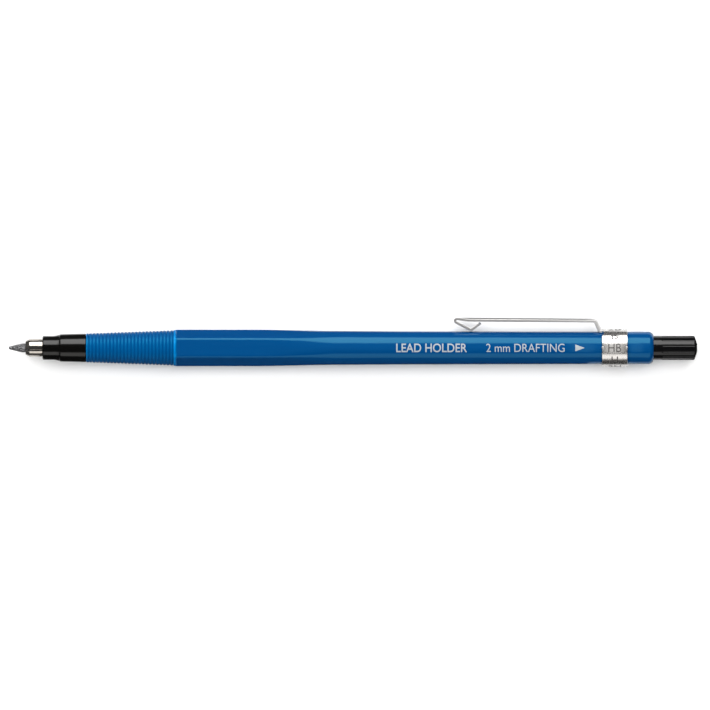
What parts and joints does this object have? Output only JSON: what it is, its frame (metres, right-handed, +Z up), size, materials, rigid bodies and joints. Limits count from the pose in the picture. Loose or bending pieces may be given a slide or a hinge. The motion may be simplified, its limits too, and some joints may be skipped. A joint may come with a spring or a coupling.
{
  "type": "lead holder",
  "caption": "Clutch lead holder for drafting: hexagonal barrel with ribbed grip, jaw chuck, fluted push button and turning clip band with lead grades.",
  "frame": {"origin": "on the holder's axis, at the middle of the pilot land on the nose collar", "axes": "+X along the holder from the nose to the push button, +Y towards the clip, +Z up"},
  "size_m": [0.1546, 0.0111, 0.0084],
  "materials": {
    "barrel_plastic": "gloss",
    "nose_metal": "satin black",
    "button_plastic": "gloss",
    "bush_plastic": "matte",
    "brass": "turned",
    "jaw_metal": "nickel plated",
    "spring_steel": "drawn wire",
    "blade_steel": "ground",
    "clip_steel": "polished",
    "graphite": "satin"
  },
  "bodies": {
    "barrel": {"barrel": "barrel_plastic", "nose_sleeve": "nose_metal", "nose_collar": "nose_metal", "spring_seat": "spring_steel", "rear_bush": "bush_plastic", "return_spring": "spring_steel"},
    "plunger": {"lead_tube": "brass", "collet_body": "brass", "spring_collar": "brass", "cap_socket": "brass"},
    "jaw_1": {"jaw_1": "jaw_metal"},
    "jaw_2": {"jaw_2": "jaw_metal"},
    "jaw_3": {"jaw_3": "jaw_metal"},
    "lead": {"lead": "graphite"},
    "cap": {"push_button": "button_plastic", "pointer_core": "bush_plastic", "pointer_blade": "blade_steel"},
    "clip_band": {"clip_band": "clip_steel"},
    "clip_arm": {"clip_arm": "clip_steel"}
  },
  "joints": [
    {"name": "button_push", "type": "slide", "parent": "barrel", "child": "plunger", "axis": [-1, 0, 0], "range_m": [0, 0.004], "stiffness_N_per_m": 600, "springref_m": -0.004, "deforming": ["return_spring"]},
    {"name": "jaw_1_open", "type": "hinge", "parent": "plunger", "child": "jaw_1", "pos_m": [0.00815, 0.00091, 0.00101], "axis": [0, 0.7431, -0.6691], "range_deg": [0, 2.3]},
    {"name": "jaw_2_open", "type": "hinge", "parent": "plunger", "child": "jaw_2", "pos_m": [0.00815, -0.00133, 0.00028], "axis": [0, 0.2079, 0.9781], "range_deg": [0, 2.3]},
    {"name": "jaw_3_open", "type": "hinge", "parent": "plunger", "child": "jaw_3", "pos_m": [0.00815, 0.00042, -0.00129], "axis": [0, -0.9511, -0.309], "range_deg": [0, 2.3]},
    {"name": "lead_feed", "type": "slide", "parent": "plunger", "child": "lead", "axis": [-1, 0, 0], "range_m": [-0.0075, 0.115]},
    {"name": "cap_pull", "type": "slide", "parent": "plunger", "child": "cap", "axis": [1, 0, 0], "range_m": [0, 0.01]},
    {"name": "band_turn", "type": "hinge", "parent": "barrel", "child": "clip_band", "pos_m": [0.1272, 0, 0], "axis": [1, 0, 0], "continuous": true},
    {"name": "clip_flex", "type": "hinge", "parent": "clip_band", "child": "clip_arm", "pos_m": [0.12427, 0.00425, 0], "axis": [0, 0, -1], "range_deg": [0, 6], "stiffness_Nm_per_rad": 2.5, "springref_deg": -1.15}
  ],
  "couplings": [
    {"joint": "jaw_1_open", "follows": "button_push", "rad_per_m": 9.5993},
    {"joint": "jaw_2_open", "follows": "button_push", "rad_per_m": 9.5993},
    {"joint": "jaw_3_open", "follows": "button_push", "rad_per_m": 9.5993}
  ]
}
